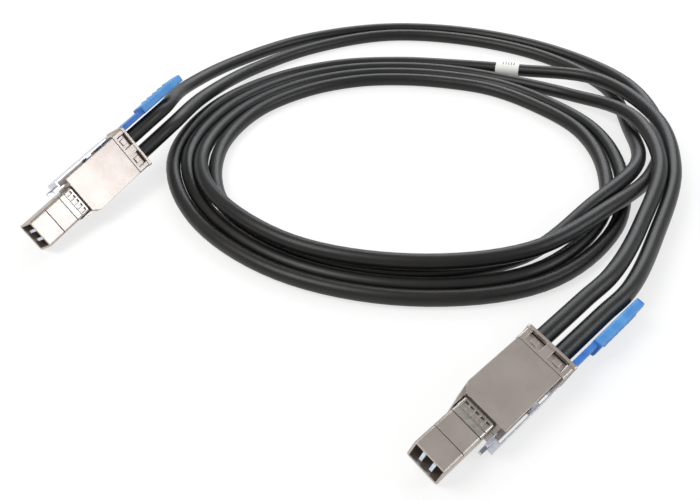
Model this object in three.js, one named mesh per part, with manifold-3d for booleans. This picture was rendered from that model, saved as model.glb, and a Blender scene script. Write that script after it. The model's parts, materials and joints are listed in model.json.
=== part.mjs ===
// Copper cable assembly: two die-cast plugs joined by two round cables that lie wound in a flat coil.
// Millimetres, +Z up. The origin lies on the floor under the middle of the two plugs' common box.
import * as THREE from "three";
import { mergeVertices } from "three/addons/utils/BufferGeometryUtils.js";
import Module from "manifold-3d";

const wasm = await Module();
wasm.setup();

// Driving dimensions of a plug. Its own frame has +X out of the mouth, +Y towards the latch,
// and Z across its thickness. X = 0 is the front lip, and distances run back from there.
const CLEARANCE = 0.3;
const PLUG_LENGTH = 53.5;
const NOSE_HALF_WIDTH = 5.6;
const NOSE_HALF_THICKNESS = 4.3;
const NOSE_WALL = 0.7;
const NOSE_CORNER = 0.9;
const SHROUD_LENGTH = 7.3;
const COLLAR_START = 14.7;
const COLLAR_LENGTH = 5.8;
const COLLAR_SHEET = 0.35;
const FINGER_COUNT = 5;
const FINGER_WINDOW_WIDTH = 1.25;
const FINGER_WINDOW_LENGTH = 2.7;
const BODY_FRONT = 20.9;
const BODY_END = 46.9;
const BODY_LOW_SIDE = 8.0;
const BODY_LATCH_SIDE = 8.6;
const BODY_HALF_THICKNESS = 5.3;
const BODY_WALL = 0.8;
const SHOULDER_LENGTH = 3.2;
const SHOULDER_STEP = 0.4;
const HORN_LENGTH = 4.6;
const HORN_HALF_HEIGHT = 3.9;
const SPLIT_GAP = 0.3;

const FRAME_WALL = 0.9;
const FRAME_LOW_SIDE = 8.6;
const FRAME_LATCH_SIDE = 9.8;
const FRAME_HALF_THICKNESS = 5.6;
const FRAME_FLARE = 0.35;
const WINDOW_LENGTH = 4.2;
const WINDOW_WIDTH = 5.4;
const WINDOW_PITCH = 8.4;
const WINDOW_EDGE = 1.1;
const TANG_SIZE = 2.3;
const TANG_HEIGHT = 0.5;

const CARD_THICKNESS = 1.0;
const CARD_HALF_WIDTH = 2.9;
const CARD_PITCH = 3.74;
const CARD_RECESS = 0.9;
const CARD_LENGTH = 27.0;
const HOLDER_START = 21.6;
const HOLDER_LENGTH = 4.0;

const CABLE_DIAMETER = 5.8;
const CABLE_SIDES = 10;
const LATCH_SIDE_CABLE_Y = 3.6;
const LOW_SIDE_CABLE_Y = -3.6;
const CABLE_INNER_END = 44.5;
const MOUTH_INSET = 2;
const FERRULE_WALL = 0.25;
const FERRULE_GAP = 0.2;
const FERRULE_LENGTH = 5.0;
const FERRULE_OVER_CABLE = 1.3;
const WIRES_HALF_WIDTH = 1.3;
const WIRES_HALF_THICKNESS = 2.3;
const GROMMET_LENGTH = 0.9;
const GROMMET_INSET = 0.1;
const NECK_WALL = 0.3;

const LATCH_SHEET = 0.45;
const LATCH_STANDOFF = 0.95;
const LATCH_HALF_WIDTH = 3.3;
const LATCH_FRONT = 17.9;
const LATCH_END = 45.6;
const HOOK_DROP = 2.6;
const HOOK_LENGTH = 2.2;
const TOOTH_REACH = 2.6;
const TOOTH_HEIGHT = 1.2;
const PIVOT_BACK = 36.0;
const PIVOT_Y = 7.3;
const PIN_RADIUS = 0.55;
const LUG_RADIUS = 1.3;
const LUG_THICKNESS = 0.7;
const LUG_OFFSET = 1.5;
const SPRING_RADIUS = 1.15;
const SPRING_HALF_LENGTH = 0.9;
const PIN_BOSS_INNER = 2.6;
const PIN_BOSS_LENGTH = 1.3;
const PIN_BOSS_HALF = 1.9;
const TONGUE_BACK = 43.9;
const TONGUE_THICKNESS = 0.6;
const TONGUE_HALF_WIDTH = 1.0;
const TONGUE_DROP = 1.7;

const TAB_FLOOR_Y = 7.35;
const TAB_STRAP_HEIGHT = 0.9;
const TAB_OUTER_HEIGHT = 2.0;
const TAB_HALF_WIDTH = 2.6;
const TAB_START = 39.7;
const TAB_WINDOW_START = 40.9;
const TAB_WINDOW_END = 44.7;
const TAB_WINDOW_HALF = 1.4;
const TAB_GRIP_START = 67.5;
const TAB_GRIP_RISE = 0.9;
const TAB_END = 92.5;

// Where the two plugs lie: the middle of the front lip, and the turns about Z, Y and X in degrees.
const NEAR_PLUG = { tip: [32.4, -88.5, 7.0], yaw: 225.2, noseDown: 2.5, roll: -19.4 };
const FAR_PLUG = { tip: [-98.9, 9.9, 6.65], yaw: 241.3, noseDown: 8.2, roll: 124.4 };

// The coil: each cable's course round its middle, station by station, 24 degrees apart,
// as the distance from the middle and the height of the cable's centre line.
const COIL_MIDDLE = [43.9, 91.6];
const STATION_STEP = 24;
const FIRST_STATION = 168;
const LOW = 3.1;
const CABLE_A_COURSE = [
  [108, 12.0], [108.5, 5.2], [110, LOW], [110, LOW], [109, LOW], [109.5, LOW], [110.5, LOW], [104, 3.3],
  [96.6, 5.6], [94.2, 11.1], [98.2, 9.7], [100, 9.35], [102.5, 9.35], [101.2, 9.35], [94.1, 4.4],
  [82.1, LOW], [70.1, LOW], [61.1, LOW], [55.3, LOW], [54.1, LOW], [58.1, LOW], [64.1, LOW], [75.1, LOW],
  [85.2, LOW], [98.1, LOW], [108.8, LOW], [111.2, LOW], [112.2, LOW], [110.6, LOW], [106.3, LOW],
  [95.4, LOW], [83.5, LOW], [74.1, LOW], [67.8, LOW], [67.0, 3.5], [74.5, 4.9], [91.8, 9.0], [100, 9.9],
  [104.3, 9.7], [113.5, 8.2],
];
const CABLE_B_COURSE = [
  [99, 8.8], [97.5, 4.2], [98.5, LOW], [101.3, LOW], [99.8, LOW], [100, LOW], [98.5, LOW], [90.2, 3.9],
  [90.4, 8.9], [87.5, 9.2], [94.4, 4.2], [98.5, LOW], [99.5, LOW], [97.8, LOW], [87.7, LOW],
  [75.4, LOW], [63.3, LOW], [54.5, LOW], [49.0, LOW], [48, LOW], [51.9, LOW], [57.4, LOW], [68.2, LOW],
  [78.4, LOW], [91.3, LOW], [102.3, LOW], [104.9, LOW], [106.1, LOW], [104.5, LOW], [100.4, LOW],
  [88.9, LOW], [77.0, LOW], [67.8, LOW], [61.6, LOW], [60.6, LOW], [64.9, LOW], [77, 4.2], [88.7, 11.1],
  [98.3, 12.2], [107.2, 10.0],
];
const STEPS_PER_STATION = 2;
const NEAR_LEADS = [13, 27, 42];
const FAR_LEADS = [12, 24];
const LABEL_STATION = 34.87;
const LABEL_LENGTH = 11;
const LABEL_WALL = 0.35;

// Finishes
const finish = (color, roughness, metalness) => new THREE.MeshStandardMaterial({ color, roughness, metalness });
const CAST = finish(0x979089, 0.42, 0.85);
const SHEET = finish(0xc9ccce, 0.28, 0.95);
const BOARD = finish(0xd8dde2, 0.4, 0.3);
const PLASTIC = finish(0x1b1c1f, 0.6, 0.0);
const WIRE = finish(0x8f9499, 0.5, 0.6);
const BLUE = finish(0x3f86cf, 0.45, 0.0);
const JACKET = finish(0x15171b, 0.42, 0.0);
const PAPER = finish(0xf4f4f2, 0.7, 0.0);

// A closed three.js geometry as a solid, and back.
function toSolid(geometry) {
  const bare = geometry.clone();
  bare.deleteAttribute("normal");
  bare.deleteAttribute("uv");
  const merged = mergeVertices(bare, 1e-4);
  const vertProperties = new Float32Array(merged.attributes.position.array);
  const triVerts = new Uint32Array(merged.index.array);
  return new wasm.Manifold(new wasm.Mesh({ numProp: 3, vertProperties, triVerts }));
}

function toGeometry(solid) {
  const mesh = solid.getMesh();
  const geometry = new THREE.BufferGeometry();
  geometry.setAttribute("position", new THREE.BufferAttribute(new Float32Array(mesh.vertProperties), 3));
  geometry.setIndex(new THREE.BufferAttribute(new Uint32Array(mesh.triVerts), 1));
  geometry.computeVertexNormals();
  return geometry;
}

// A box between two corners.
function box(x0, x1, y0, y1, z0, z1) {
  const geometry = new THREE.BoxGeometry(x1 - x0, y1 - y0, z1 - z0);
  geometry.translate((x0 + x1) / 2, (y0 + y1) / 2, (z0 + z1) / 2);
  return toSolid(geometry);
}

// A bar along X with a rounded rectangular section.
function roundedBar(x0, x1, y0, y1, z0, z1, radius) {
  const shape = new THREE.Shape();
  shape.moveTo(y0 + radius, z0);
  shape.lineTo(y1 - radius, z0);
  shape.absarc(y1 - radius, z0 + radius, radius, -Math.PI / 2, 0, false);
  shape.lineTo(y1, z1 - radius);
  shape.absarc(y1 - radius, z1 - radius, radius, 0, Math.PI / 2, false);
  shape.lineTo(y0 + radius, z1);
  shape.absarc(y0 + radius, z1 - radius, radius, Math.PI / 2, Math.PI, false);
  shape.lineTo(y0, z0 + radius);
  shape.absarc(y0 + radius, z0 + radius, radius, Math.PI, Math.PI * 1.5, false);
  const geometry = new THREE.ExtrudeGeometry(shape, { depth: x1 - x0, bevelEnabled: false, curveSegments: 3 });
  geometry.applyMatrix4(new THREE.Matrix4().makeBasis(
    new THREE.Vector3(0, 1, 0), new THREE.Vector3(0, 0, 1), new THREE.Vector3(1, 0, 0)));
  geometry.translate(x0, 0, 0);
  return toSolid(geometry);
}

// A plate of an outline in the XY plane between two heights.
function plate(outline, z0, z1) {
  const shape = new THREE.Shape(outline.map(([x, y]) => new THREE.Vector2(x, y)));
  const geometry = new THREE.ExtrudeGeometry(shape, { depth: z1 - z0, bevelEnabled: false });
  geometry.translate(0, 0, z0);
  return toSolid(geometry);
}

// A round bar along Z or X.
function roundBar(axis, radius, centre, length, sides = 16) {
  const geometry = new THREE.CylinderGeometry(radius, radius, length, sides);
  if (axis === "z") {
    geometry.rotateX(Math.PI / 2);
  } else {
    geometry.rotateZ(Math.PI / 2);
  }
  geometry.translate(...centre);
  return toSolid(geometry);
}

// The pieces of one plug, each as a solid in the plug's frame.
const noseInner = { y: NOSE_HALF_WIDTH - NOSE_WALL, z: NOSE_HALF_THICKNESS - NOSE_WALL };
const seatStep = COLLAR_SHEET + CLEARANCE;

function noseShroud() {
  const outer = roundedBar(-SHROUD_LENGTH, 0, -NOSE_HALF_WIDTH, NOSE_HALF_WIDTH,
    -NOSE_HALF_THICKNESS, NOSE_HALF_THICKNESS, NOSE_CORNER);
  return outer.subtract(box(-SHROUD_LENGTH - 1, 1, -noseInner.y, noseInner.y, -noseInner.z, noseInner.z));
}

function bodyOutline() {
  return [
    [-BODY_FRONT, -NOSE_HALF_WIDTH - SHOULDER_STEP],
    [-BODY_FRONT - SHOULDER_LENGTH, -BODY_LOW_SIDE],
    [-BODY_END, -BODY_LOW_SIDE],
    [-BODY_END, BODY_LATCH_SIDE],
    [-BODY_FRONT, BODY_LATCH_SIDE],
  ];
}

// Both half shells as one hollow casing, split afterwards at the middle plane.
function casing() {
  const seamBack = SHROUD_LENGTH + CLEARANCE;
  const neckEnd = PLUG_LENGTH - GROMMET_INSET - GROMMET_LENGTH - CLEARANCE;
  const neck = FRAME_WALL + CLEARANCE;
  const neckLow = -FRAME_LOW_SIDE + neck + FRAME_FLARE;
  const neckHigh = TAB_FLOOR_Y - CLEARANCE;
  const neckZ = FRAME_HALF_THICKNESS - neck - FRAME_FLARE;
  const front = roundedBar(-COLLAR_START + CLEARANCE, -seamBack, -NOSE_HALF_WIDTH, NOSE_HALF_WIDTH,
    -NOSE_HALF_THICKNESS, NOSE_HALF_THICKNESS, NOSE_CORNER);
  const seat = roundedBar(-BODY_FRONT - 1, -COLLAR_START + CLEARANCE + 0.5,
    -NOSE_HALF_WIDTH + seatStep, NOSE_HALF_WIDTH - seatStep,
    -NOSE_HALF_THICKNESS + seatStep, NOSE_HALF_THICKNESS - seatStep, 0.5);
  const body = plate(bodyOutline(), -BODY_HALF_THICKNESS, BODY_HALF_THICKNESS);
  const hornY = -NOSE_HALF_WIDTH - CLEARANCE;
  const horn = plate([
    [-BODY_FRONT - SHOULDER_LENGTH, -BODY_LOW_SIDE + 0.05],
    [-BODY_FRONT + HORN_LENGTH, hornY - 0.25],
    [-BODY_FRONT + HORN_LENGTH, hornY],
    [-BODY_FRONT - SHOULDER_LENGTH, hornY],
  ], -HORN_HALF_HEIGHT, HORN_HALF_HEIGHT);
  const neckBar = box(-neckEnd, -BODY_END + 1, neckLow, neckHigh, -neckZ, neckZ);
  const tangs = [];
  for (const side of [-1, 1]) {
    for (const y of windowCentres()) {
      const x = -(BODY_END + CLEARANCE + WINDOW_EDGE + WINDOW_LENGTH / 2);
      const z0 = side > 0 ? neckZ - 0.2 : -neckZ - TANG_HEIGHT;
      tangs.push(box(x - TANG_SIZE / 2, x + TANG_SIZE / 2, y - TANG_SIZE / 2, y + TANG_SIZE / 2,
        z0, z0 + TANG_HEIGHT + 0.2));
    }
  }
  let solid = front.add(seat).add(body).add(horn).add(neckBar);
  for (const tang of tangs) {
    solid = solid.add(tang);
  }
  const bore = box(-BODY_FRONT - 2, 1, -noseInner.y + 0.5, noseInner.y - 0.5,
    -CARD_HALF_WIDTH - CLEARANCE, CARD_HALF_WIDTH + CLEARANCE);
  const cavityZ = BODY_HALF_THICKNESS - BODY_WALL;
  const cavity = plate([
    [-BODY_FRONT - BODY_WALL, -NOSE_HALF_WIDTH + 0.4],
    [-BODY_FRONT - SHOULDER_LENGTH - BODY_WALL, -BODY_LOW_SIDE + BODY_WALL],
    [-BODY_END + BODY_WALL, -BODY_LOW_SIDE + BODY_WALL],
    [-BODY_END + BODY_WALL, BODY_LATCH_SIDE - BODY_WALL],
    [-BODY_FRONT - BODY_WALL, BODY_LATCH_SIDE - BODY_WALL],
  ], -cavityZ, cavityZ);
  const neckBore = box(-PLUG_LENGTH, -BODY_END + 2, neckLow + NECK_WALL, neckHigh + 1,
    -neckZ + NECK_WALL, neckZ - NECK_WALL);
  solid = solid.subtract(bore).subtract(cavity).subtract(neckBore);
  const boss = box(-PIVOT_BACK - PIN_BOSS_HALF, -PIVOT_BACK + PIN_BOSS_HALF,
    PIVOT_Y - 1.5, BODY_LATCH_SIDE - 0.2, PIN_BOSS_INNER, cavityZ + 0.2);
  const mirrored = box(-PIVOT_BACK - PIN_BOSS_HALF, -PIVOT_BACK + PIN_BOSS_HALF,
    PIVOT_Y - 1.5, BODY_LATCH_SIDE - 0.2, -cavityZ - 0.2, -PIN_BOSS_INNER);
  solid = solid.add(boss).add(mirrored);
  const latchSlot = box(-PIVOT_BACK - PIN_BOSS_HALF, -PIVOT_BACK + PIN_BOSS_HALF,
    PIVOT_Y - 3, BODY_LATCH_SIDE + 1, -PIN_BOSS_INNER, PIN_BOSS_INNER);
  const tabSlot = box(-BODY_END - 1, -TAB_START + CLEARANCE, TAB_FLOOR_Y - CLEARANCE, BODY_LATCH_SIDE + 1,
    -TAB_HALF_WIDTH - CLEARANCE, TAB_HALF_WIDTH + CLEARANCE);
  const pinHole = roundBar("z", PIN_RADIUS + CLEARANCE, [-PIVOT_BACK, PIVOT_Y, 0],
    2 * (PIN_BOSS_INNER + PIN_BOSS_LENGTH));
  return solid.subtract(latchSlot).subtract(tabSlot).subtract(pinHole);
}

function windowCentres() {
  const middle = (FRAME_LATCH_SIDE - FRAME_LOW_SIDE) / 2;
  return [middle - WINDOW_PITCH / 2, middle + WINDOW_PITCH / 2];
}

function halfShell(side) {
  const z0 = side > 0 ? SPLIT_GAP / 2 : -20;
  const z1 = side > 0 ? 20 : -SPLIT_GAP / 2;
  return casing().intersect(box(-200, 50, -50, 50, z0, z1));
}

// Spring-metal collar round the root of the nose, with a row of windows between its fingers.
function fingerCollar() {
  const x0 = -COLLAR_START - COLLAR_LENGTH;
  const inner = {
    y: NOSE_HALF_WIDTH - COLLAR_SHEET,
    z: NOSE_HALF_THICKNESS - COLLAR_SHEET,
  };
  const bulge = roundedBar(x0 + 2.2, x0 + 3.6, -NOSE_HALF_WIDTH, NOSE_HALF_WIDTH,
    -NOSE_HALF_THICKNESS - 0.35, NOSE_HALF_THICKNESS + 0.35, 0.9);
  let ring = roundedBar(x0, -COLLAR_START, -NOSE_HALF_WIDTH, NOSE_HALF_WIDTH,
    -NOSE_HALF_THICKNESS, NOSE_HALF_THICKNESS, NOSE_CORNER).add(bulge);
  ring = ring.subtract(box(x0 - 1, -COLLAR_START + 1, -inner.y, inner.y, -inner.z, inner.z));
  const pitch = (2 * NOSE_HALF_WIDTH - 1.6) / FINGER_COUNT;
  for (let i = 0; i < FINGER_COUNT; i += 1) {
    const y = (i - (FINGER_COUNT - 1) / 2) * pitch;
    const slot = box(x0 + 0.7, x0 + 0.7 + FINGER_WINDOW_LENGTH, y - FINGER_WINDOW_WIDTH / 2,
      y + FINGER_WINDOW_WIDTH / 2, -20, 20);
    ring = ring.subtract(slot);
  }
  return ring;
}

function paddleCard(side) {
  const y = (side * CARD_PITCH) / 2;
  return box(-CARD_LENGTH, -CARD_RECESS, y - CARD_THICKNESS / 2, y + CARD_THICKNESS / 2,
    -CARD_HALF_WIDTH, CARD_HALF_WIDTH);
}

// Moulded holder that keeps the two cards apart inside the body.
function cardHolder() {
  const x0 = -HOLDER_START - HOLDER_LENGTH;
  let solid = box(x0, -HOLDER_START - 0.6, -NOSE_HALF_WIDTH + 1.0, NOSE_HALF_WIDTH + 0.6,
    -BODY_HALF_THICKNESS + BODY_WALL + CLEARANCE, BODY_HALF_THICKNESS - BODY_WALL - CLEARANCE);
  for (const side of [-1, 1]) {
    const y = (side * CARD_PITCH) / 2;
    const half = CARD_THICKNESS / 2 + CLEARANCE;
    solid = solid.subtract(box(x0 - 1, 0, y - half, y + half,
      -CARD_HALF_WIDTH - CLEARANCE, CARD_HALF_WIDTH + CLEARANCE));
  }
  return solid;
}

// The cable's inner pairs, from the back of a card to the cable's cut end.
function wires(cardSide, cableY) {
  const start = CARD_LENGTH + CLEARANCE;
  const end = CABLE_INNER_END - CLEARANCE;
  const cardY = (cardSide * CARD_PITCH) / 2;
  const run = end - start;
  const path = new THREE.CatmullRomCurve3([
    new THREE.Vector3(-start, cardY, 0),
    new THREE.Vector3(-start - run * 0.25, cardY, 0),
    new THREE.Vector3(-start - run * 0.6, cableY, 0),
    new THREE.Vector3(-end, cableY, 0),
  ]);
  const section = new THREE.Shape();
  section.absellipse(0, 0, WIRES_HALF_THICKNESS, WIRES_HALF_WIDTH, 0, Math.PI * 2, false, 0);
  const geometry = new THREE.ExtrudeGeometry(section, { steps: 8, extrudePath: path, curveSegments: 5 });
  return toSolid(geometry);
}

// Crimped ferrule over the cable's inner end.
function ferrule(cableY) {
  const radius = CABLE_DIAMETER / 2 + FERRULE_GAP;
  const x = -CABLE_INNER_END - FERRULE_OVER_CABLE + FERRULE_LENGTH / 2;
  const outer = roundBar("x", radius + FERRULE_WALL, [x, cableY, 0], FERRULE_LENGTH, 20);
  return outer.subtract(roundBar("x", radius, [x, cableY, 0], FERRULE_LENGTH + 2, 20));
}

// Clamping frame round the back of both shells, with a flared lip and two windows a side.
function rearFrame() {
  const x0 = -PLUG_LENGTH;
  const x1 = -BODY_END - CLEARANCE;
  const outer = roundedBar(x0, x1, -FRAME_LOW_SIDE + FRAME_FLARE, FRAME_LATCH_SIDE - FRAME_FLARE,
    -FRAME_HALF_THICKNESS + FRAME_FLARE, FRAME_HALF_THICKNESS - FRAME_FLARE, 0.6);
  const lip = roundedBar(x0, x0 + 1.2, -FRAME_LOW_SIDE, FRAME_LATCH_SIDE,
    -FRAME_HALF_THICKNESS, FRAME_HALF_THICKNESS, 0.6);
  const wall = FRAME_WALL + FRAME_FLARE;
  let solid = outer.add(lip).subtract(box(x0 - 1, x1 + 1, -FRAME_LOW_SIDE + wall,
    FRAME_LATCH_SIDE - wall, -FRAME_HALF_THICKNESS + wall, FRAME_HALF_THICKNESS - wall));
  for (const y of windowCentres()) {
    solid = solid.subtract(box(x1 - WINDOW_EDGE - WINDOW_LENGTH, x1 - WINDOW_EDGE,
      y - WINDOW_WIDTH / 2, y + WINDOW_WIDTH / 2, -20, 20));
  }
  return solid;
}

// Soft block that seals the cables in the frame's mouth.
function rearGrommet() {
  const wall = FRAME_WALL + FRAME_FLARE + CLEARANCE;
  const x0 = -PLUG_LENGTH + GROMMET_INSET;
  let solid = box(x0, x0 + GROMMET_LENGTH, -FRAME_LOW_SIDE + wall, TAB_FLOOR_Y - CLEARANCE,
    -FRAME_HALF_THICKNESS + wall, FRAME_HALF_THICKNESS - wall);
  for (const y of [LOW_SIDE_CABLE_Y, LATCH_SIDE_CABLE_Y]) {
    solid = solid.subtract(roundBar("x", CABLE_DIAMETER / 2 + CLEARANCE,
      [x0 + GROMMET_LENGTH / 2, y, 0], GROMMET_LENGTH + 2, 20));
  }
  return solid;
}

// Pressed latch: a plate along the narrow side, lugs on the pin, a turned-down hook and two teeth.
function latchArm() {
  const y0 = BODY_LATCH_SIDE + LATCH_STANDOFF;
  const y1 = y0 + LATCH_SHEET;
  const x1 = -LATCH_FRONT;
  let solid = box(-LATCH_END, x1, y0, y1, -LATCH_HALF_WIDTH, LATCH_HALF_WIDTH);
  const hookBottom = y0 - HOOK_DROP;
  solid = solid.add(box(x1 - LATCH_SHEET, x1, hookBottom, y0 + 0.1, -LATCH_HALF_WIDTH, LATCH_HALF_WIDTH));
  solid = solid.add(box(x1 - HOOK_LENGTH, x1, hookBottom, hookBottom + LATCH_SHEET,
    -LATCH_HALF_WIDTH, LATCH_HALF_WIDTH));
  for (const side of [-1, 1]) {
    const z0 = side > 0 ? LATCH_HALF_WIDTH - 1.1 : -LATCH_HALF_WIDTH;
    solid = solid.add(box(x1 - 0.1, x1 + TOOTH_REACH, hookBottom, hookBottom + TOOTH_HEIGHT, z0, z0 + 1.1));
    const lugZ = side > 0 ? LUG_OFFSET : -LUG_OFFSET - LUG_THICKNESS;
    const arm = box(-PIVOT_BACK - LUG_RADIUS, -PIVOT_BACK + LUG_RADIUS, PIVOT_Y, y0 + 0.1,
      lugZ, lugZ + LUG_THICKNESS);
    const eye = roundBar("z", LUG_RADIUS, [-PIVOT_BACK, PIVOT_Y, lugZ + LUG_THICKNESS / 2], LUG_THICKNESS);
    solid = solid.add(arm).add(eye);
  }
  solid = solid.add(box(-TONGUE_BACK - TONGUE_THICKNESS / 2, -TONGUE_BACK + TONGUE_THICKNESS / 2,
    y0 - TONGUE_DROP, y0 + 0.1, -TONGUE_HALF_WIDTH, TONGUE_HALF_WIDTH));
  return solid.subtract(roundBar("z", PIN_RADIUS + CLEARANCE, [-PIVOT_BACK, PIVOT_Y, 0], 12));
}

function latchPin() {
  return roundBar("z", PIN_RADIUS, [-PIVOT_BACK, PIVOT_Y, 0], 2 * (PIN_BOSS_INNER + PIN_BOSS_LENGTH) - 0.4);
}

// Closed-wound return spring on the pin, as its outer form.
function latchSpring() {
  const outer = roundBar("z", SPRING_RADIUS, [-PIVOT_BACK, PIVOT_Y, 0], 2 * SPRING_HALF_LENGTH);
  return outer.subtract(roundBar("z", PIN_RADIUS + CLEARANCE, [-PIVOT_BACK, PIVOT_Y, 0], 12));
}

// Moulded pull strap with a thicker grip at its free end.
function pullTab() {
  const y0 = TAB_FLOOR_Y;
  const y1 = y0 + TAB_STRAP_HEIGHT;
  const strap = box(-TAB_END, -TAB_START, y0, y1, -TAB_HALF_WIDTH, TAB_HALF_WIDTH);
  const outer = roundedBar(-TAB_END, -PLUG_LENGTH - 2 * CLEARANCE, y0, y0 + TAB_OUTER_HEIGHT,
    -TAB_HALF_WIDTH, TAB_HALF_WIDTH, 0.5);
  const grip = roundedBar(-TAB_END, -TAB_GRIP_START, y0 - 0.1, y0 + TAB_OUTER_HEIGHT + TAB_GRIP_RISE,
    -TAB_HALF_WIDTH - 0.5, TAB_HALF_WIDTH + 0.5, 0.6);
  return strap.add(outer).add(grip).subtract(box(-TAB_WINDOW_END, -TAB_WINDOW_START, y0 - 1, y1 + 1,
    -TAB_WINDOW_HALF, TAB_WINDOW_HALF));
}

// One plug as a group of named meshes.
function makePlug(prefix, place) {
  const plug = new THREE.Group();
  const put = (name, solid, material) => {
    const mesh = new THREE.Mesh(toGeometry(solid), material);
    mesh.name = `${prefix}_${name}`;
    plug.add(mesh);
  };
  put("nose_shroud", noseShroud(), CAST);
  put("upper_shell", halfShell(1), CAST);
  put("lower_shell", halfShell(-1), CAST);
  put("finger_collar", fingerCollar(), SHEET);
  put("latch_side_card", paddleCard(1), BOARD);
  put("far_side_card", paddleCard(-1), BOARD);
  put("card_holder", cardHolder(), PLASTIC);
  put("latch_side_wires", wires(1, LATCH_SIDE_CABLE_Y), WIRE);
  put("far_side_wires", wires(-1, LOW_SIDE_CABLE_Y), WIRE);
  put("latch_side_ferrule", ferrule(LATCH_SIDE_CABLE_Y), SHEET);
  put("far_side_ferrule", ferrule(LOW_SIDE_CABLE_Y), SHEET);
  put("clamp_frame", rearFrame(), CAST);
  put("grommet", rearGrommet(), PLASTIC);
  put("latch_arm", latchArm(), SHEET);
  put("latch_pin", latchPin(), SHEET);
  put("latch_spring", latchSpring(), SHEET);
  put("pull_tab", pullTab(), BLUE);
  const turn = (degrees) => THREE.MathUtils.degToRad(degrees);
  plug.rotation.set(turn(place.roll), turn(place.noseDown), turn(place.yaw), "ZYX");
  plug.position.set(...place.tip);
  plug.updateMatrixWorld(true);
  return plug;
}

// A cable's course as a smooth curve whose steps follow its stations.
class CableCourse extends THREE.CatmullRomCurve3 {
  getUtoTmapping(u) {
    return u;
  }
}

// The stretch from a plug: inside the ferrule, then straight out along the plug's axis.
function leadPoints(plug, y, leads) {
  const distances = [CABLE_INNER_END, PLUG_LENGTH - MOUTH_INSET, ...leads.map((reach) => PLUG_LENGTH + reach)];
  return distances.map((back) => new THREE.Vector3(-back, y, 0).applyMatrix4(plug.matrixWorld));
}

function coilPoints(course) {
  return course.map(([radius, height], index) => {
    const angle = THREE.MathUtils.degToRad(FIRST_STATION - STATION_STEP * index);
    return new THREE.Vector3(
      COIL_MIDDLE[0] + radius * Math.cos(angle), COIL_MIDDLE[1] + radius * Math.sin(angle), height);
  });
}

function cableSection(radius) {
  const section = new THREE.Shape();
  for (let i = 0; i < CABLE_SIDES; i += 1) {
    const angle = ((i + 0.5) / CABLE_SIDES) * Math.PI * 2;
    const point = [radius * Math.cos(angle), radius * Math.sin(angle)];
    if (i === 0) {
      section.moveTo(...point);
    } else {
      section.lineTo(...point);
    }
  }
  section.closePath();
  return section;
}

function cablePoints(course, farY, nearY) {
  return [
    ...leadPoints(farPlug, farY, FAR_LEADS),
    ...coilPoints(course),
    ...leadPoints(nearPlug, nearY, NEAR_LEADS).reverse(),
  ];
}

function cable(points) {
  const steps = (points.length - 1) * STEPS_PER_STATION;
  return new THREE.ExtrudeGeometry(cableSection(CABLE_DIAMETER / 2),
    { steps, extrudePath: new CableCourse(points), curveSegments: 1 });
}

// Paper label wrapped round a cable, at one station of its coil.
function label(points) {
  const course = new CableCourse(points);
  const leadCount = FAR_LEADS.length + 2;
  const t = (LABEL_STATION + leadCount) / (points.length - 1);
  const centre = course.getPoint(t);
  const along = course.getTangent(t);
  const ring = (radius, length) => {
    const geometry = new THREE.CylinderGeometry(radius, radius, length, 20);
    geometry.applyQuaternion(new THREE.Quaternion().setFromUnitVectors(new THREE.Vector3(0, 1, 0), along));
    geometry.translate(centre.x, centre.y, centre.z);
    return toSolid(geometry);
  };
  const inner = CABLE_DIAMETER / 2 + CLEARANCE;
  return toGeometry(ring(inner + LABEL_WALL, LABEL_LENGTH).subtract(ring(inner, LABEL_LENGTH + 2)));
}

const nearPlug = makePlug("near", NEAR_PLUG);
const farPlug = makePlug("far", FAR_PLUG);
const cableAPoints = cablePoints(CABLE_A_COURSE, LATCH_SIDE_CABLE_Y, LATCH_SIDE_CABLE_Y);
const cableBPoints = cablePoints(CABLE_B_COURSE, LOW_SIDE_CABLE_Y, LOW_SIDE_CABLE_Y);

const assembly = new THREE.Group();
assembly.add(nearPlug, farPlug);
for (const [name, geometry, material] of [
  ["cable_a", cable(cableAPoints), JACKET],
  ["cable_b", cable(cableBPoints), JACKET],
  ["cable_label", label(cableAPoints), PAPER],
]) {
  const mesh = new THREE.Mesh(geometry, material);
  mesh.name = name;
  assembly.add(mesh);
}

export default assembly;
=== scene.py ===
import json
import logging
import math
from dataclasses import dataclass, field
from enum import Enum

import bmesh
import bpy
from mathutils import Matrix, Vector


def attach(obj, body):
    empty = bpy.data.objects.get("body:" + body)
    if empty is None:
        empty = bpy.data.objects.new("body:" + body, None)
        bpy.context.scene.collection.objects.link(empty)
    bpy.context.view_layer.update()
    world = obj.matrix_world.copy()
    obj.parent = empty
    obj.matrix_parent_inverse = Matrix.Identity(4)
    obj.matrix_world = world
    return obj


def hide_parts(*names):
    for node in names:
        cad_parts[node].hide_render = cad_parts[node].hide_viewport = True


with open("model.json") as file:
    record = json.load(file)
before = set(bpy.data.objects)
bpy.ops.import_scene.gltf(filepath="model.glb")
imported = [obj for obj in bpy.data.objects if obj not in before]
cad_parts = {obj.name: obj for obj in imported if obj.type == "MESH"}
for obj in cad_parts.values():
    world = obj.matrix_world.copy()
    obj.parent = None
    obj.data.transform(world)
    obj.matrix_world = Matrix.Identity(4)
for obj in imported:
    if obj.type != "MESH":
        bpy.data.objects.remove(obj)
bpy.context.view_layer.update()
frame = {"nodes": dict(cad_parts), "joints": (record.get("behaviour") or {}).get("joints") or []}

LOG = logging.getLogger("cable")
# One millimetre, in metres.
MM = 0.001

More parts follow.
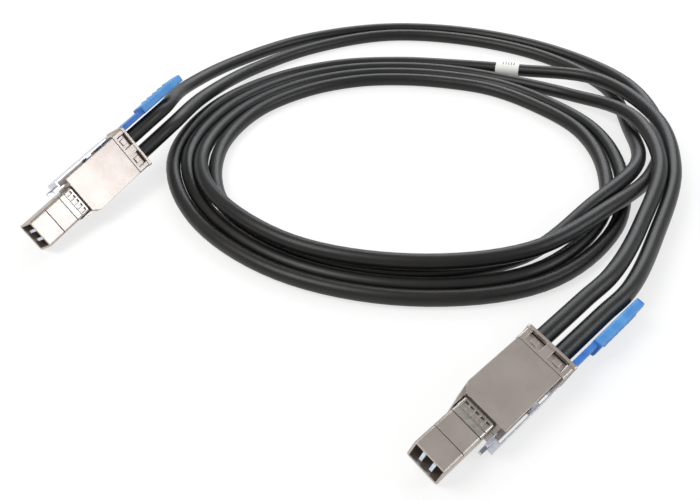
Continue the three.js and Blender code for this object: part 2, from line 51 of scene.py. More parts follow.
# The plugs' driving sizes. Back is the distance behind the front lip.
PIVOT_MM = (-36.0, 7.3, 0.0)
CABLE_DIAMETER_MM = 5.8
LATCH_SIDE_CABLE_MM = 3.6
LOW_SIDE_CABLE_MM = -3.6
CABLE_START_BACK_MM = 44.5
PLUG_LENGTH_MM = 53.5
MOUTH_INSET_MM = 2.0
NEAR_LEADS_MM = (13.0, 27.0, 42.0)
FAR_LEADS_MM = (12.0, 24.0)
INSIDE_BACKS_MM = (CABLE_START_BACK_MM, PLUG_LENGTH_MM - MOUTH_INSET_MM)

# The gasket's stretches: its edges across the plug, then its ends along it, behind the lip.
GASKET_STRETCHES_MM = (
    (5.2, 5.58, -14.3, -7.7), (-5.58, -5.2, -14.3, -7.7),
    (7.95, 8.57, -33.9, -21.2), (-7.97, -7.4, -46.7, -25.0),
)

# The coil: the distance from its middle and the height of each cable, station by station.
# LOW is the height of a strand that lies on the floor.
COIL_MIDDLE_MM = (43.9, 91.6)
STATION_STEP_DEG = 24.0
FIRST_STATION_DEG = 168.0
LOW = 3.1
CABLE_A_COURSE_MM = [
    (108, 12.0), (108.5, 5.2), (110, LOW), (110, LOW), (109, LOW), (109.5, LOW), (110.5, LOW), (104, 3.3),
    (96.6, 5.6), (94.2, 11.1), (98.2, 9.7), (100, 9.35), (102.5, 9.35), (101.2, 9.35), (94.1, 4.4),
    (82.1, LOW), (70.1, LOW), (61.1, LOW), (55.3, LOW), (54.1, LOW), (58.1, LOW), (64.1, LOW), (75.1, LOW),
    (85.2, LOW), (98.1, LOW), (108.8, LOW), (111.2, LOW), (112.2, LOW), (110.6, LOW), (106.3, LOW),
    (95.4, LOW), (83.5, LOW), (74.1, LOW), (67.8, LOW), (67.0, 3.5), (74.5, 4.9), (91.8, 9.0), (100, 9.9),
    (104.3, 9.7), (113.5, 8.2),
]
CABLE_B_COURSE_MM = [
    (99, 8.8), (97.5, 4.2), (98.5, LOW), (101.3, LOW), (99.8, LOW), (100, LOW), (98.5, LOW), (90.2, 3.9),
    (90.4, 8.9), (87.5, 9.2), (94.4, 4.2), (98.5, LOW), (99.5, LOW), (97.8, LOW), (87.7, LOW),
    (75.4, LOW), (63.3, LOW), (54.5, LOW), (49.0, LOW), (48, LOW), (51.9, LOW), (57.4, LOW), (68.2, LOW),
    (78.4, LOW), (91.3, LOW), (102.3, LOW), (104.9, LOW), (106.1, LOW), (104.5, LOW), (100.4, LOW),
    (88.9, LOW), (77.0, LOW), (67.8, LOW), (61.6, LOW), (60.6, LOW), (64.9, LOW), (77, 4.2), (88.7, 11.1),
    (98.3, 12.2), (107.2, 10.0),
]
CABLE_A_LENGTH_MM = 1680.0
CABLE_B_LENGTH_MM = 1563.0

# How every finish draws its mottling, its grain, its softened edges and the highlight painted along them.
MOTTLE_DETAIL = 3.0
MOTTLE_ROUGHNESS = 0.55
MOTTLE_LOW = 0.35
MOTTLE_HIGH = 0.65
GRAIN_DETAIL = 2.0
GRAIN_STRENGTH = 0.5
BEVEL_SAMPLES = 4
EDGE_STARTS = 0.98
EDGE_IS_FULL = 0.75

# How finely the pieces are meshed.
BLOCK_EDGE_STEPS = 3
CURVE_ROUNDNESS = 6
MERGE_DISTANCE_M = 1e-6


class Side(Enum):
    """The two ends of the cable."""

    NEAR = "near"
    FAR = "far"


class Slot(Enum):
    """The record's material slot names; no piece here takes its finish from them."""

    SHEET = "sheet_metal"
    CARD = "card_edge"
    DARK = "dark_plastic"
    BLUE = "blue_plastic"
    JACKET = "jacket"
    LABEL = "label_paper"


def linear(hex_colour: str) -> tuple[float, float, float, float]:
    """Turn an sRGB hex colour to linear light.

    Args:
        hex_colour: the colour as "#RRGGBB".

    Returns:
        Linear red, green, blue and a full alpha.
    """
    channels = [int(hex_colour[start:start + 2], 16) / 255 for start in (1, 3, 5)]
    red, green, blue = (value / 12.92 if value <= 0.04045 else ((value + 0.055) / 1.055) ** 2.4
                        for value in channels)
    return (red, green, blue, 1.0)


def add_node(tree: bpy.types.NodeTree, kind: str, links: dict | None = None,
             **settings: object) -> bpy.types.Node:
    """Add one node with its settings and links.

    Args:
        tree: the node tree.
        kind: the node's type name.
        links: input name or index to the output socket, or the value, that it takes.
        **settings: attributes of the node.

    Returns:
        The new node.
    """
    node = tree.nodes.new(kind)
    for key, value in settings.items():
        setattr(node, key, value)
    for key, value in (links or {}).items():
        socket = node.inputs[key]
        if isinstance(value, bpy.types.NodeSocket):
            tree.links.new(value, socket)
        else:
            socket.default_value = value
    return node


@dataclass(frozen=True)
class Finish:
    """A surface with a mottled colour, a fine grain and softened edges with a painted highlight."""

    name: str
    light: str
    dark: str
    # The lighter tone painted on the edges as a highlight.
    edge: str
    roughness: float
    metallic: float = 0.0
    mottle_mm: float = 3.0
    grain_mm: float = 0.35
    grain_depth_mm: float = 0.03
    rounding_mm: float = 0.25
    roughness_swing: float = 0.08
    specular: float = 0.5

    def colour(self, tree: bpy.types.NodeTree, place: bpy.types.NodeSocket) -> bpy.types.NodeSocket:
        """Mix the light and dark tones over the surface, with the edge tone painted on the edges as a
        highlight.

        Args:
            tree: the material's node tree.
            place: the coordinates that the pattern reads.

        Returns:
            The colour's socket.
        """
        mottle = add_node(tree, "ShaderNodeTexNoise", {
            "Vector": place, "Scale": 1 / (self.mottle_mm * MM), "Detail": MOTTLE_DETAIL,
            "Roughness": MOTTLE_ROUGHNESS})
        spread = add_node(tree, "ShaderNodeMapRange", {
            "Value": mottle.outputs["Fac"], "From Min": MOTTLE_LOW, "From Max": MOTTLE_HIGH})
        tone = add_node(tree, "ShaderNodeMix", {
            0: spread.outputs["Result"], 6: linear(self.dark), 7: linear(self.light)}, data_type="RGBA")
        bevel = add_node(tree, "ShaderNodeBevel", {"Radius": self.rounding_mm * MM}, samples=BEVEL_SAMPLES)
        flat = add_node(tree, "ShaderNodeNewGeometry")
        turn = add_node(tree, "ShaderNodeVectorMath", {
            0: bevel.outputs["Normal"], 1: flat.outputs["Normal"]}, operation="DOT_PRODUCT")
        # Painted highlight: the edge tone comes in where the rounded normal turns away from the flat one.
        painted_edge_highlight = add_node(tree, "ShaderNodeMapRange", {
            "Value": turn.outputs["Value"], "From Min": EDGE_STARTS, "From Max": EDGE_IS_FULL})
        mixed = add_node(tree, "ShaderNodeMix", {
            0: painted_edge_highlight.outputs["Result"], 6: tone.outputs[2], 7: linear(self.edge)}, data_type="RGBA")
        return mixed.outputs[2]

    def build(self) -> bpy.types.Material:
        """Build the material's nodes.

        Returns:
            The material.
        """
        material = bpy.data.materials.new(self.name)
        material.use_nodes = True
        tree = material.node_tree
        tree.nodes.clear()
        output = add_node(tree, "ShaderNodeOutputMaterial")
        place = add_node(tree, "ShaderNodeTexCoord").outputs["Object"]
        grain = add_node(tree, "ShaderNodeTexNoise", {
            "Vector": place, "Scale": 1 / (self.grain_mm * MM), "Detail": GRAIN_DETAIL})
        swing = add_node(tree, "ShaderNodeMapRange", {
            "Value": grain.outputs["Fac"], "To Min": self.roughness - self.roughness_swing,
            "To Max": self.roughness + self.roughness_swing})
        bevel = add_node(tree, "ShaderNodeBevel", {"Radius": self.rounding_mm * MM}, samples=BEVEL_SAMPLES)
        bump = add_node(tree, "ShaderNodeBump", {
            "Height": grain.outputs["Fac"], "Distance": self.grain_depth_mm * MM,
            "Strength": GRAIN_STRENGTH, "Normal": bevel.outputs["Normal"]})
        shader = add_node(tree, "ShaderNodeBsdfPrincipled", {
            "Base Color": self.colour(tree, place), "Roughness": swing.outputs["Result"],
            "Normal": bump.outputs["Normal"], "Metallic": self.metallic,
            "Specular IOR Level": self.specular})
        tree.links.new(shader.outputs["BSDF"], output.inputs["Surface"])
        return material


@dataclass(frozen=True)
class LabelFinish(Finish):
    """White film with a few plain generic bars printed across it."""

    centre: tuple[float, float, float] = (0.0, 0.0, 0.0)
    turn: float = 0.0
    bar_pitch_mm: float = 1.3
    bar_share: float = 0.35
    print_half_length_mm: float = 3.2
    print_half_width_mm: float = 1.4
    ink: str = "#4A4D52"

    def colour(self, tree: bpy.types.NodeTree, place: bpy.types.NodeSocket) -> bpy.types.NodeSocket:
        """Print bars along the label, inside a short field.

        Args:
            tree: the material's node tree.
            place: the coordinates of the plain pattern.

        Returns:
            The colour's socket.
        """
        paper = super().colour(tree, place)
        where = add_node(tree, "ShaderNodeTexCoord")
        local = add_node(tree, "ShaderNodeMapping", {
            "Vector": where.outputs["Object"], "Location": self.centre, "Rotation": (0.0, 0.0, self.turn)},
            vector_type="TEXTURE")
        axes = add_node(tree, "ShaderNodeSeparateXYZ", {0: local.outputs["Vector"]})
        steps = add_node(tree, "ShaderNodeMath", {
            0: axes.outputs["X"], 1: 1 / (self.bar_pitch_mm * MM)}, operation="MULTIPLY")
        part = add_node(tree, "ShaderNodeMath", {0: steps.outputs[0]}, operation="FRACT")
        bar = add_node(tree, "ShaderNodeMath", {
            0: part.outputs[0], 1: self.bar_share}, operation="LESS_THAN")
        reach = add_node(tree, "ShaderNodeMath", {0: axes.outputs["X"]}, operation="ABSOLUTE")
        inside = add_node(tree, "ShaderNodeMath", {
            0: reach.outputs[0], 1: self.print_half_length_mm * MM}, operation="LESS_THAN")
        side = add_node(tree, "ShaderNodeMath", {0: axes.outputs["Y"]}, operation="ABSOLUTE")
        band = add_node(tree, "ShaderNodeMath", {
            0: side.outputs[0], 1: self.print_half_width_mm * MM}, operation="LESS_THAN")
        both = add_node(tree, "ShaderNodeMath", {
            0: bar.outputs[0], 1: inside.outputs[0]}, operation="MULTIPLY")
        mask = add_node(tree, "ShaderNodeMath", {
            0: both.outputs[0], 1: band.outputs[0]}, operation="MULTIPLY")
        mixed = add_node(tree, "ShaderNodeMix", {
            0: mask.outputs[0], 6: paper, 7: linear(self.ink)}, data_type="RGBA")
        return mixed.outputs[2]


# Nickel-plated zinc die casting: a warm grey satin with faint mottling and a highlight painted on its
# edges.
CAST_ZINC = Finish("nickel_plated_zinc_casting", "#B9AFA8", "#AFA59D", "#D9D3CC", 0.34, 0.9,
                   mottle_mm=9.0, grain_mm=0.5, grain_depth_mm=0.02, rounding_mm=0.3)
# Stamped stainless spring sheet: smoother than the casting, with a finer mottling.
SPRING_SHEET = Finish("stamped_stainless_sheet", "#BDB9B2", "#A5A099", "#D6D3CE", 0.28, 0.95,
                      mottle_mm=2.0, grain_mm=0.3, grain_depth_mm=0.01, rounding_mm=0.12)
# Bright plated steel: pale with a cool cast.
BRIGHT_STEEL = Finish("bright_plated_steel", "#D9D9E2", "#BFC2CC", "#F2F4F6", 0.24, 0.95,
                      mottle_mm=4.0, grain_mm=0.3, grain_depth_mm=0.01, rounding_mm=0.15)
# Glass-fibre laminate board: pale blue-white at its cut front edge.
LAMINATE = Finish("glass_fibre_laminate", "#DCE6F2", "#B9C8DA", "#F4F8FC", 0.42,
                  mottle_mm=1.0, grain_mm=0.25, grain_depth_mm=0.01, rounding_mm=0.1)
# Gold flash over nickel on the contact pads.
GOLD_FLASH = Finish("gold_flash_contact", "#D8B25A", "#B98F3E", "#E8CB84", 0.25, 1.0,
                    mottle_mm=0.8, grain_mm=0.2, grain_depth_mm=0.005, rounding_mm=0.05)
# Glass-filled nylon: near black and matte.
BLACK_NYLON = Finish("glass_filled_nylon", "#1E1F22", "#131416", "#2A2B2F", 0.55,
                     mottle_mm=2.0, grain_mm=0.25, grain_depth_mm=0.02, rounding_mm=0.15)
# Tinned foil round the wire pairs.
FOIL = Finish("tinned_foil", "#A7ABB0", "#8A8E93", "#C3C6CA", 0.35, 0.8, mottle_mm=1.5, grain_mm=0.4)
# Moulded thermoplastic polyester: a clear mid blue with a satin skin.
BLUE_STRAP = Finish("moulded_blue_polyester", "#2F74C4", "#1F5BB0", "#5E9DDC", 0.38,
                    mottle_mm=8.0, grain_mm=0.5, grain_depth_mm=0.015, rounding_mm=0.3)
# The same resin in the lighter overmoulded grip.
BLUE_GRIP = Finish("moulded_light_blue_grip", "#4F95D2", "#3C82C6", "#8CC4E8", 0.42,
                   mottle_mm=6.0, grain_mm=0.5, grain_depth_mm=0.02, rounding_mm=0.35)
# Extruded PVC jacket: near black with a faint satin sheen.
PVC_JACKET = Finish("extruded_pvc_jacket", "#14130F", "#0A0A0B", "#14130F", 0.40,
                    mottle_mm=14.0, grain_mm=0.7, grain_depth_mm=0.03, rounding_mm=0.1, specular=0.42)

NODE_FINISHES: dict[str, Finish] = {
    "nose_shroud": CAST_ZINC, "upper_shell": CAST_ZINC, "lower_shell": CAST_ZINC, "clamp_frame": CAST_ZINC,
    "finger_collar": SPRING_SHEET, "latch_side_ferrule": SPRING_SHEET, "far_side_ferrule": SPRING_SHEET,
    "latch_arm": BRIGHT_STEEL, "latch_pin": BRIGHT_STEEL, "latch_spring": BRIGHT_STEEL,
    "latch_side_card": LAMINATE, "far_side_card": LAMINATE, "card_holder": BLACK_NYLON,
    "grommet": BLACK_NYLON, "latch_side_wires": FOIL, "far_side_wires": FOIL, "pull_tab": BLUE_STRAP,
}


@dataclass
class Wardrobe:
    """Each finish's material, built once."""

    made: dict[str, bpy.types.Material] = field(default_factory=dict)

    def give(self, finish: Finish) -> bpy.types.Material:
        """Find the finish's material, building it at its first use.

        Args:
            finish: the finish.

        Returns:
            The material.
        """
        if finish.name not in self.made:
            self.made[finish.name] = finish.build()
        return self.made[finish.name]

    def dress(self, piece: bpy.types.Object, finish: Finish) -> None:
        """Put one finish on a piece, in place of what it had.

        Args:
            piece: the piece.
            finish: what it is made of.
        """
        piece.data.materials.clear()
        piece.data.materials.append(self.give(finish))


WARDROBE = Wardrobe()


def plug_matrix(side: Side) -> Matrix:
    """Work out where a plug lies from its joints.

    Args:
        side: which plug.

    Returns:
        The turn and place of the plug's own frame, in metres.
    """
    joints = {joint["name"]: joint for joint in frame["joints"]}
    slide = joints[f"{side.value}_pull_slide"]
    hinge = joints[f"{side.value}_latch_hinge"]
    along = -Vector(slide["axis"]).normalized()
    normal = -Vector(hinge["axis"]).normalized()
    across = normal.cross(along)
    turn = Matrix((along, across, normal)).transposed()
    origin = Vector(hinge["pos_m"]) - turn @ (Vector(PIVOT_MM) * MM)
    return Matrix.Translation(origin) @ turn.to_4x4()


def finish_piece(name: str, bm: bmesh.types.BMesh, finish: Finish, body: str,
                 smooth: bool = True) -> bpy.types.Object:
    """Turn a bmesh into a finished piece on its body.

    Args:
        name: the piece's name.
        bm: the mesh, in place, in metres.
        finish: what it is made of.
        body: the body that it moves with.
        smooth: whether its faces are shaded smooth.

    Returns:
        The object.
    """
    bmesh.ops.recalc_face_normals(bm, faces=bm.faces)
    for face in bm.faces:
        face.smooth = smooth
    mesh = bpy.data.meshes.new(name)
    bm.to_mesh(mesh)
    bm.free()
    piece = bpy.data.objects.new(name, mesh)
    bpy.context.scene.collection.objects.link(piece)
    WARDROBE.dress(piece, finish)
    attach(piece, body)
    LOG.info("%s: %d faces", name, len(mesh.polygons))
    return piece


def add_block(bm: bmesh.types.BMesh, low: tuple[float, float, float], high: tuple[float, float, float],
              place: Matrix, bevel_mm: float = 0.0) -> None:
    """Add a block between two corners of the plug's frame, with eased edges.

    Args:
        bm: the mesh that takes it.
        low: its lowest corner in millimetres.
        high: its highest corner in millimetres.
        place: the plug's matrix.
        bevel_mm: the width of the eased edge.
    """
    size = [(end - start) * MM for start, end in zip(low, high)]
    centre = [(start + end) / 2 * MM for start, end in zip(low, high)]
    made = bmesh.ops.create_cube(bm, size=1.0)["verts"]
    bmesh.ops.scale(bm, vec=size, verts=made)
    bmesh.ops.translate(bm, vec=centre, verts=made)
    bmesh.ops.transform(bm, matrix=place, verts=made)
    if bevel_mm:
        edges = {edge for vert in made for edge in vert.link_edges}
        bmesh.ops.bevel(bm, geom=list(edges), offset=bevel_mm * MM, segments=BLOCK_EDGE_STEPS, profile=0.5,
                        affect="EDGES", material=-1)


@dataclass
class Plug:
    """One die-cast plug: the finishes of its solids, and the fine pieces that only show up close."""

    side: Side
    card_pitch_mm: float = 3.74
    card_thickness_mm: float = 1.0
    card_front_mm: float = 0.9
    pad_count: int = 7
    pad_pitch_mm: float = 0.75
    pad_width_mm: float = 0.45
    pad_length_mm: float = 4.2
    pad_height_mm: float = 0.05
    pad_set_back_mm: float = 0.4
    tab_floor_mm: float = 7.35
    grip_start_mm: float = 67.5
    grip_end_mm: float = 92.5
    grip_end_inset_mm: float = 0.05
    grip_half_mm: float = 3.1
    grip_height_mm: float = 2.9
    grip_skin_mm: float = 0.12
    grip_edge_mm: float = 0.7
    rib_count: int = 5
    rib_pitch_mm: float = 3.4
    rib_width_mm: float = 1.1
    rib_height_mm: float = 0.35
    rib_root_mm: float = 0.3
    rib_inset_mm: float = 0.5
    rib_edge_mm: float = 0.25
    seam_mm: float = 0.2
    seam_edge_mm: float = 0.04
    boot_wall_mm: float = 0.28
    boot_length_mm: float = 1.1
    boot_grip_mm: float = 0.02
    boot_gap_mm: float = 0.15
    boot_steps: int = 40

    def __post_init__(self) -> None:
        """Take the plug's place from the frame."""
        self.place = plug_matrix(self.side)

    def dress_solids(self) -> None:
        """Give each of the plug's solids its finish."""
        for piece, finish in NODE_FINISHES.items():
            WARDROBE.dress(frame["nodes"][f"{self.side.value}_{piece}"], finish)

    def contact_pads(self) -> bpy.types.Object:
        """Lay the rows of gold contact pads on both faces of both cards.

        Returns:
            The pads as one piece.
        """
        bm = bmesh.new()
        front = -self.card_front_mm - self.pad_set_back_mm
        half = self.pad_width_mm / 2
        for card in (-1, 1):
            middle = card * self.card_pitch_mm / 2
            for face in (-1, 1):
                surface = middle + face * self.card_thickness_mm / 2
                outer = surface + face * self.pad_height_mm
                for index in range(self.pad_count):
                    z = (index - (self.pad_count - 1) / 2) * self.pad_pitch_mm
                    add_block(bm, (front - self.pad_length_mm, min(surface, outer), z - half),
                              (front, max(surface, outer), z + half), self.place)
        return finish_piece(f"{self.side.value}_contact_pads", bm, GOLD_FLASH, "root",
                            smooth=False)

    def grip(self) -> bpy.types.Object:
        """Mould the lighter grip over the end of the strap, with low ribs for the fingers.

        Returns:
            The grip.
        """
        bm = bmesh.new()
        skin = self.grip_skin_mm
        end = -self.grip_end_mm + self.grip_end_inset_mm
        low = (end, self.tab_floor_mm - skin, -self.grip_half_mm - skin)
        top = self.tab_floor_mm + self.grip_height_mm + skin
        high = (-self.grip_start_mm, top, self.grip_half_mm + skin)
        add_block(bm, low, high, self.place, bevel_mm=self.grip_edge_mm)
        middle = -(self.grip_start_mm + self.grip_end_mm) / 2
        for index in range(self.rib_count):
            x = middle + (index - (self.rib_count - 1) / 2) * self.rib_pitch_mm
            half = self.rib_width_mm / 2
            reach = self.grip_half_mm - self.rib_inset_mm
            add_block(bm, (x - half, top - self.rib_root_mm, -reach),
                      (x + half, top + self.rib_height_mm, reach), self.place, bevel_mm=self.rib_edge_mm)
        return finish_piece(f"{self.side.value}_grip_overmould", bm, BLUE_GRIP,
                            f"{self.side.value}_pull", smooth=False)

    def seam_gasket(self) -> bpy.types.Object:
        """Lay the thin gold gasket in the seam between the shells, along the nose and the body.

        Returns:
            The gasket.
        """
        bm = bmesh.new()
        half = self.seam_mm / 2
        for low_y, high_y, back, front in GASKET_STRETCHES_MM:
            add_block(bm, (back, low_y, -half), (front, high_y, half), self.place,
                      bevel_mm=self.seam_edge_mm)
        return finish_piece(f"{self.side.value}_seam_gasket", bm, GOLD_FLASH, "root",
                            smooth=False)

    def boots(self) -> bpy.types.Object:
        """Turn a thin rubber ring round each cable where it leaves the frame.

        Returns:
            Both rings as one piece.
        """
        bm = bmesh.new()
        inner = (CABLE_DIAMETER_MM / 2 - self.boot_grip_mm) * MM
        outer = inner + self.boot_wall_mm * MM
        for y in (LATCH_SIDE_CABLE_MM, LOW_SIDE_CABLE_MM):
            back = -(PLUG_LENGTH_MM + self.boot_gap_mm) * MM
            front = back + self.boot_length_mm * MM
            corners = [bm.verts.new((x, y * MM + radius, 0.0)) for x, radius in
                       ((back, inner), (back, outer), (front, outer), (front, inner))]
            edges = [bm.edges.new((corners[index - 1], corners[index])) for index in (1, 2, 3, 0)]
            bmesh.ops.spin(bm, geom=corners + edges, cent=(0.0, y * MM, 0.0), axis=(1.0, 0.0, 0.0),
                           angle=math.tau, steps=self.boot_steps, use_merge=True, use_duplicate=False)
        bmesh.ops.remove_doubles(bm, verts=bm.verts, dist=MERGE_DISTANCE_M)
        bmesh.ops.transform(bm, matrix=self.place, verts=bm.verts)
        return finish_piece(f"{self.side.value}_cable_boots", bm, BLACK_NYLON, "root")

    def build(self) -> None:
        """Dress the solids and add the fine pieces."""
        self.dress_solids()
        self.contact_pads()
        self.grip()
        self.seam_gasket()
        self.boots()


@dataclass
class Course:
    """A smooth course through chosen points, rounded by the centripetal rule."""

    points: list[Vector]
    samples_per_span: int = 8

    def at(self, span: int, share: float) -> Vector:
        """Find the place in one span of the course.

        Args:
            span: the span's number.
            share: how far along it, from 0 to 1.

        Returns:
            The place.
        """
        pts = self.points
        before = pts[span - 1] if span > 0 else pts[0] * 2 - pts[1]
        after = pts[span + 2] if span + 2 < len(pts) else pts[-1] * 2 - pts[-2]
        here, there = pts[span], pts[span + 1]
        pairs = ((before, here), (here, there), (there, after))
        dt0, dt1, dt2 = (math.sqrt((end - start).length) for start, end in pairs)
        lead = ((here - before) / dt0 - (there - before) / (dt0 + dt1) + (there - here) / dt1) * dt1
        tail = ((there - here) / dt1 - (after - here) / (dt1 + dt2) + (after - there) / dt2) * dt1
        bend = (there - here) * 3 - lead * 2 - tail
        close = (here - there) * 2 + lead + tail
        return here + lead * share + bend * share ** 2 + close * share ** 3

    def line(self) -> list[Vector]:
        """Run along the whole course.

        Returns:
            The places, a fixed number to each span.
        """
        spans = len(self.points) - 1
        run = [self.at(span, step / self.samples_per_span)
               for span in range(spans) for step in range(self.samples_per_span)]
        return run + [self.points[-1].copy()]


def cable_course(course: list[tuple[float, float]], y_mm: float) -> Course:
    """Join a cable's leads to its stations round the coil.

    Args:
        course: the distance from the coil's middle and the height at each station, in millimetres.
        y_mm: the cable's place across each plug.

    Returns:
        The course, from the far plug to the near one, in metres.
    """
    def lead(side: Side, reaches: tuple[float, ...]) -> list[Vector]:
        """Lay the straight stretch inside and behind one plug.

        Args:
            side: which plug.
            reaches: how far behind the plug each further point lies, in millimetres.

        Returns:
            The points, from the plug outwards, in metres.
        """
        backs = [*INSIDE_BACKS_MM, *(PLUG_LENGTH_MM + reach for reach in reaches)]
        return [plug_matrix(side) @ Vector((-back * MM, y_mm * MM, 0.0)) for back in backs]

    stations = []
    for index, (radius, height) in enumerate(course):
        angle = math.radians(FIRST_STATION_DEG - STATION_STEP_DEG * index)
        stations.append(Vector((COIL_MIDDLE_MM[0] + radius * math.cos(angle),
                                COIL_MIDDLE_MM[1] + radius * math.sin(angle), height)) * MM)
    return Course(lead(Side.FAR, FAR_LEADS_MM) + stations + lead(Side.NEAR, NEAR_LEADS_MM)[::-1])


def round_curve(name: str, line: list[Vector], radius_mm: float, finish: Finish) -> bpy.types.Object:
    """Lay a round curve along a line.

    Args:
        name: the piece's name.
        line: the places that it follows, in metres.
        radius_mm: its radius.
        finish: what it is made of.

    Returns:
        The curve object.
    """
    data = bpy.data.curves.new(name, "CURVE")
    data.dimensions = "3D"
    data.bevel_depth = radius_mm * MM
    data.bevel_resolution = CURVE_ROUNDNESS
    data.use_fill_caps = True
    spline = data.splines.new("POLY")
    spline.points.add(len(line) - 1)
    for point, place in zip(spline.points, line):
        point.co = (*place, 1.0)
    piece = bpy.data.objects.new(name, data)
    bpy.context.scene.collection.objects.link(piece)
    data.materials.append(WARDROBE.give(finish))
    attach(piece, "root")
    LOG.info("%s: %d points", name, len(line))
    return piece


@dataclass
class Cables:
    """The two jacketed cables and the label on one of them."""

    label_station: float = 34.87
    label_length_mm: float = 11.0
    label_radius_mm: float = 3.35

    def label(self, course: Course) -> bpy.types.Object:
        """Wrap the label round cable A.

        Args:
            course: the cable's course.

        Returns:
            The label.
        """
        spot = self.label_station + len(INSIDE_BACKS_MM) + len(FAR_LEADS_MM)
        span = int(spot)
        steps = course.samples_per_span
        middle = round(spot * steps)
        centre = course.at(span, spot - span)
        half = self.label_length_mm / 2 * MM
        near = [place for place in course.line()[middle - steps:middle + steps + 1]
                if (place - centre).length < half]
        along = (near[-1] - near[0]).normalized()
        ends = [centre - along * half, centre + along * half]
        finish = LabelFinish("white_film_label", "#F6F6F4", "#ECECEA", "#FFFFFF", 0.5, mottle_mm=4.0,
                             grain_depth_mm=0.01, rounding_mm=0.1, centre=tuple(centre),
                             turn=math.atan2(along.y, along.x))
        piece = round_curve("printed_label", [ends[0], *near, ends[1]], self.label_radius_mm, finish)
        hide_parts("cable_label")
        return piece

    def build(self) -> None:
        course_a = cable_course(CABLE_A_COURSE_MM, LATCH_SIDE_CABLE_MM)
        course_b = cable_course(CABLE_B_COURSE_MM, LOW_SIDE_CABLE_MM)
        label = self.label(course_a)
        for name, node, course, y_mm, length_mm, extras in (
            ("jacket_a", "cable_a", course_a, LATCH_SIDE_CABLE_MM, CABLE_A_LENGTH_MM, [label]),
            ("jacket_b", "cable_b", course_b, LOW_SIDE_CABLE_MM, CABLE_B_LENGTH_MM, []),
        ):
            piece = round_curve(name, course.line(), CABLE_DIAMETER_MM / 2, PVC_JACKET)
            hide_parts(node)


@dataclass(frozen=True)
class Lamp:
    """One soft square lamp: where it hangs and what it faces, in metres, and its light."""

    name: str
    place_m: tuple[float, float, float]
    aim_m: tuple[float, float, float]
    size_m: float
    power_w: float
    colour: str

    def hang(self) -> None:
        """Put the lamp in the scene."""
        data = bpy.data.lights.new(self.name, "AREA")
        data.size = self.size_m
        data.energy = self.power_w
        data.color = linear(self.colour)[:3]
        lamp = bpy.data.objects.new(self.name, data)
        lamp.location = self.place_m
        facing = Vector(self.aim_m) - Vector(self.place_m)
        lamp.rotation_euler = facing.to_track_quat("-Z", "Y").to_euler()
        bpy.context.scene.collection.objects.link(lamp)


LAMPS = (
    Lamp("key", (-0.5, -0.2, 0.8), (0.0, 0.05, 0.0), 0.5, 5.0, "#FFFDF8"),
    Lamp("back", (0.25, 0.9, 0.6), (0.04, 0.09, 0.0), 0.7, 5.0, "#F6FAFF"),
    Lamp("side", (0.9, -0.1, 0.5), (0.05, 0.05, 0.0), 0.4, 2.5, "#F4F8FF"),
)


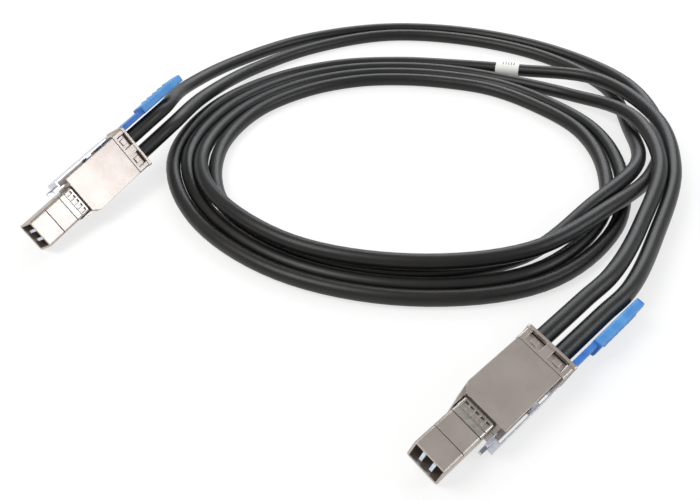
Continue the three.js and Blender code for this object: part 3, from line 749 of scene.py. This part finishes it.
@dataclass
class Studio:
    """The pale floor, the soft lamps and the camera."""

    camera_mm: tuple[float, float, float] = (12.7, -222.4, 182.0)
    look_down_deg: float = 38.0
    focal_px: float = 820.0
    image_width_px: float = 700.0
    sensor_mm: float = 36.0
    clip_near_m: float = 0.01
    clip_far_m: float = 50.0
    floor_half_m: float = 3.0
    floor_colour: str = "#F4F4F4"
    floor_glow: float = 0.7
    room_light: float = 0.55

    def camera(self) -> None:
        """Set the camera at the photograph's angle."""
        data = bpy.data.cameras.new("camera")
        data.sensor_width = self.sensor_mm
        data.lens = self.focal_px / self.image_width_px * self.sensor_mm
        data.clip_start = self.clip_near_m
        data.clip_end = self.clip_far_m
        camera = bpy.data.objects.new("camera", data)
        camera.location = Vector(self.camera_mm) * MM
        camera.rotation_euler = (math.radians(90 - self.look_down_deg), 0.0, 0.0)
        bpy.context.scene.collection.objects.link(camera)
        bpy.context.scene.camera = camera

    def floor(self) -> None:
        """Lay the pale floor: white to the eye, with a soft trace of the object's shadow."""
        bm = bmesh.new()
        bmesh.ops.create_grid(bm, x_segments=1, y_segments=1, size=self.floor_half_m)
        mesh = bpy.data.meshes.new("floor")
        bm.to_mesh(mesh)
        bm.free()
        material = bpy.data.materials.new("pale_floor")
        material.use_nodes = True
        tree = material.node_tree
        tree.nodes.clear()
        output = add_node(tree, "ShaderNodeOutputMaterial")
        matte = add_node(tree, "ShaderNodeBsdfDiffuse", {"Color": linear(self.floor_colour)})
        white = add_node(tree, "ShaderNodeEmission", {"Color": linear("#FFFFFF"), "Strength": 1.0})
        path = add_node(tree, "ShaderNodeLightPath")
        seen = add_node(tree, "ShaderNodeMath", {
            0: path.outputs["Is Camera Ray"], 1: path.outputs["Is Glossy Ray"]}, operation="MAXIMUM")
        through = add_node(tree, "ShaderNodeMath", {
            0: seen.outputs[0], 1: path.outputs["Is Transmission Ray"]}, operation="MAXIMUM")
        share = add_node(tree, "ShaderNodeMath", {
            0: through.outputs[0], 1: self.floor_glow}, operation="MULTIPLY")
        both = add_node(tree, "ShaderNodeMixShader", {
            0: share.outputs[0], 1: matte.outputs[0], 2: white.outputs[0]})
        tree.links.new(both.outputs[0], output.inputs["Surface"])
        mesh.materials.append(material)
        floor = bpy.data.objects.new("floor", mesh)
        bpy.context.scene.collection.objects.link(floor)

    def world(self) -> None:
        """Fill the room with white, plain to the eye and dimmer as a lamp."""
        world = bpy.data.worlds.new("studio")
        world.use_nodes = True
        tree = world.node_tree
        tree.nodes.clear()
        output = add_node(tree, "ShaderNodeOutputWorld")
        path = add_node(tree, "ShaderNodeLightPath")
        seen = add_node(tree, "ShaderNodeMath", {
            0: path.outputs["Is Camera Ray"], 1: path.outputs["Is Transmission Ray"]}, operation="MAXIMUM")
        strength = add_node(tree, "ShaderNodeMapRange", {
            "Value": seen.outputs[0], "To Min": self.room_light, "To Max": 1.0})
        back = add_node(tree, "ShaderNodeBackground", {
            "Color": linear("#FFFFFF"), "Strength": strength.outputs["Result"]})
        tree.links.new(back.outputs[0], output.inputs["Surface"])
        bpy.context.scene.world = world

    def build(self) -> None:
        """Set up the whole studio."""
        self.camera()
        self.floor()
        self.world()
        for lamp in LAMPS:
            lamp.hang()
        bpy.context.scene.view_settings.view_transform = "Standard"


def main() -> None:
    """Build the scene and note its size."""
    logging.basicConfig(level=logging.INFO, format="%(message)s")
    Studio().build()
    Cables().build()
    for side in Side:
        Plug(side).build()


if __name__ == "__main__":
    main()
